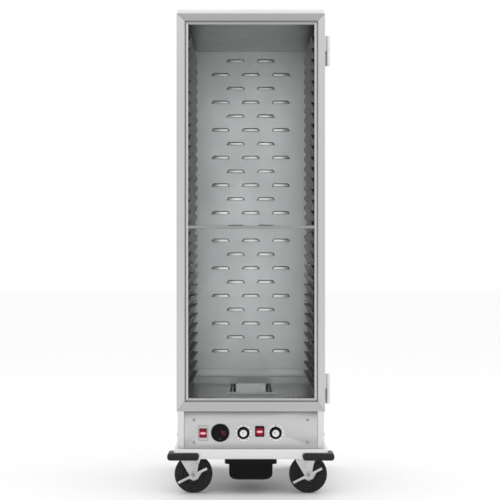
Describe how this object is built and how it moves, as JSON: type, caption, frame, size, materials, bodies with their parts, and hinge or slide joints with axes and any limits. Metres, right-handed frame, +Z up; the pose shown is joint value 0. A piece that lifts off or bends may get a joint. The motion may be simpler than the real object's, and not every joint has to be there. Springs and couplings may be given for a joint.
{
  "type": "food holding cabinet",
  "caption": "Tall mobile heated holding cabinet with a clear hinged door, corrugated pan slides, louvred air duct and a control panel at its foot.",
  "frame": {"origin": "on the floor, under the middle of the base", "axes": "+Z up, -Y towards the front of the cabinet, +X towards the hinge side of the door"},
  "size_m": [0.596, 0.786, 1.739],
  "materials": {
    "aluminium_body": "satin",
    "aluminium_liner": "satin",
    "aluminium_frame": "satin",
    "fascia": "brushed",
    "zinc_steel": "zinc plated",
    "hinge_steel": "bright",
    "wheel_rubber": "matte",
    "bumper_rubber": "matte",
    "gasket_rubber": "matte",
    "clear_plastic": "clear",
    "black_plastic": "semi gloss",
    "pan_plastic": "satin",
    "light_plastic": "semi gloss",
    "control_plastic": "matte",
    "red_plastic": "translucent",
    "stainless": "satin",
    "dark_steel": "dull",
    "fan_aluminium": "plain"
  },
  "bodies": {
    "cabinet": {"base_chassis": "aluminium_body", "side_panel_left": "aluminium_body", "side_panel_right": "aluminium_body", "top_panel": "aluminium_body", "rear_panel": "aluminium_body", "ceiling_liner": "aluminium_body", "cabinet_floor": "aluminium_body", "pan_runner_left": "aluminium_body", "pan_runner_right": "aluminium_body", "rack_left_lower": "aluminium_liner", "rack_left_upper": "aluminium_liner", "rack_right_lower": "aluminium_liner", "rack_right_upper": "aluminium_liner", "air_baffle": "aluminium_liner", "control_fascia": "fascia", "caster_plate_front_left": "zinc_steel", "caster_plate_front_right": "zinc_steel", "caster_plate_rear_left": "zinc_steel", "caster_plate_rear_right": "zinc_steel", "hinge_bracket_lower": "hinge_steel", "hinge_bracket_upper": "hinge_steel", "bumper_front_left": "bumper_rubber", "bumper_front_right": "bumper_rubber", "bumper_rear_left": "bumper_rubber", "bumper_rear_right": "bumper_rubber", "display_module": "black_plastic", "power_inlet": "black_plastic", "power_switch_bezel": "light_plastic", "mode_switch_bezel": "light_plastic", "thermostat_body": "control_plastic", "humidity_control_body": "control_plastic", "heating_element": "dark_steel", "fan_motor": "dark_steel"},
    "door": {"door_top_rail": "aluminium_frame", "door_bottom_rail": "aluminium_frame", "door_left_stile": "aluminium_frame", "door_right_stile": "aluminium_frame", "glazing_bar": "aluminium_frame", "upper_pane": "clear_plastic", "lower_pane": "clear_plastic", "door_gasket": "gasket_rubber", "hinge_leaf_lower": "hinge_steel", "hinge_leaf_upper": "hinge_steel"},
    "swivel_front_left": {"caster_fork_front_left": "zinc_steel"},
    "wheel_front_left": {"caster_wheel_front_left": "wheel_rubber"},
    "swivel_front_right": {"caster_fork_front_right": "zinc_steel"},
    "wheel_front_right": {"caster_wheel_front_right": "wheel_rubber"},
    "swivel_rear_left": {"caster_fork_rear_left": "zinc_steel"},
    "wheel_rear_left": {"caster_wheel_rear_left": "wheel_rubber"},
    "swivel_rear_right": {"caster_fork_rear_right": "zinc_steel"},
    "wheel_rear_right": {"caster_wheel_rear_right": "wheel_rubber"},
    "brake_front_left": {"brake_lever_front_left": "zinc_steel"},
    "brake_front_right": {"brake_lever_front_right": "zinc_steel"},
    "power_rocker": {"power_rocker": "red_plastic"},
    "mode_rocker": {"mode_rocker": "red_plastic"},
    "temperature_knob": {"temperature_knob": "black_plastic"},
    "humidity_knob": {"humidity_knob": "black_plastic"},
    "condensate_pan": {"condensate_pan": "pan_plastic"},
    "water_pan": {"water_pan": "stainless"},
    "fan": {"fan_impeller": "fan_aluminium"}
  },
  "joints": [
    {"name": "door_hinge", "type": "hinge", "parent": "cabinet", "child": "door", "pos_m": [0.276, -0.3575, 0.301], "axis": [0, 0, 1], "range_deg": [0, 180]},
    {"name": "swivel_front_left", "type": "hinge", "parent": "cabinet", "child": "swivel_front_left", "pos_m": [-0.219, -0.3, 0.1585], "axis": [0, 0, 1], "continuous": true},
    {"name": "wheel_roll_front_left", "type": "hinge", "parent": "swivel_front_left", "child": "wheel_front_left", "pos_m": [-0.207, -0.3, 0.0685], "axis": [0, 1, 0], "continuous": true},
    {"name": "brake_front_left", "type": "hinge", "parent": "swivel_front_left", "child": "brake_front_left", "pos_m": [-0.207, -0.3, 0.0685], "axis": [0, 1, 0], "range_deg": [0, 25]},
    {"name": "swivel_front_right", "type": "hinge", "parent": "cabinet", "child": "swivel_front_right", "pos_m": [0.195, -0.3, 0.1585], "axis": [0, 0, 1], "continuous": true},
    {"name": "wheel_roll_front_right", "type": "hinge", "parent": "swivel_front_right", "child": "wheel_front_right", "pos_m": [0.207, -0.3, 0.0685], "axis": [0, 1, 0], "continuous": true},
    {"name": "brake_front_right", "type": "hinge", "parent": "swivel_front_right", "child": "brake_front_right", "pos_m": [0.207, -0.3, 0.0685], "axis": [0, 1, 0], "range_deg": [0, 25]},
    {"name": "swivel_rear_left", "type": "hinge", "parent": "cabinet", "child": "swivel_rear_left", "pos_m": [-0.219, 0.3, 0.1585], "axis": [0, 0, 1], "continuous": true},
    {"name": "wheel_roll_rear_left", "type": "hinge", "parent": "swivel_rear_left", "child": "wheel_rear_left", "pos_m": [-0.219, 0.312, 0.0685], "axis": [-1, 0, 0], "continuous": true},
    {"name": "swivel_rear_right", "type": "hinge", "parent": "cabinet", "child": "swivel_rear_right", "pos_m": [0.195, 0.3, 0.1585], "axis": [0, 0, 1], "continuous": true},
    {"name": "wheel_roll_rear_right", "type": "hinge", "parent": "swivel_rear_right", "child": "wheel_rear_right", "pos_m": [0.195, 0.312, 0.0685], "axis": [-1, 0, 0], "continuous": true},
    {"name": "power_switch_press", "type": "hinge", "parent": "cabinet", "child": "power_rocker", "pos_m": [-0.171, -0.3433, 0.2205], "axis": [1, 0, 0], "range_deg": [-14, 0]},
    {"name": "mode_switch_press", "type": "hinge", "parent": "cabinet", "child": "mode_rocker", "pos_m": [0.032, -0.3433, 0.226], "axis": [1, 0, 0], "range_deg": [-14, 0]},
    {"name": "temperature_knob_turn", "type": "hinge", "parent": "cabinet", "child": "temperature_knob", "pos_m": [-0.0265, -0.3465, 0.221], "axis": [0, 1, 0], "range_deg": [0, 270]},
    {"name": "humidity_knob_turn", "type": "hinge", "parent": "cabinet", "child": "humidity_knob", "pos_m": [0.089, -0.3465, 0.221], "axis": [0, 1, 0], "range_deg": [0, 270]},
    {"name": "condensate_pan_slide", "type": "slide", "parent": "cabinet", "child": "condensate_pan", "axis": [0, -1, 0], "range_m": [0, 0.28]},
    {"name": "water_pan_lift", "type": "slide", "parent": "cabinet", "child": "water_pan", "axis": [0, 0, 1], "range_m": [0, 0.12]},
    {"name": "fan_spin", "type": "hinge", "parent": "cabinet", "child": "fan", "pos_m": [0, 0.321, 0.227], "axis": [0, 1, 0], "continuous": true}
  ]
}
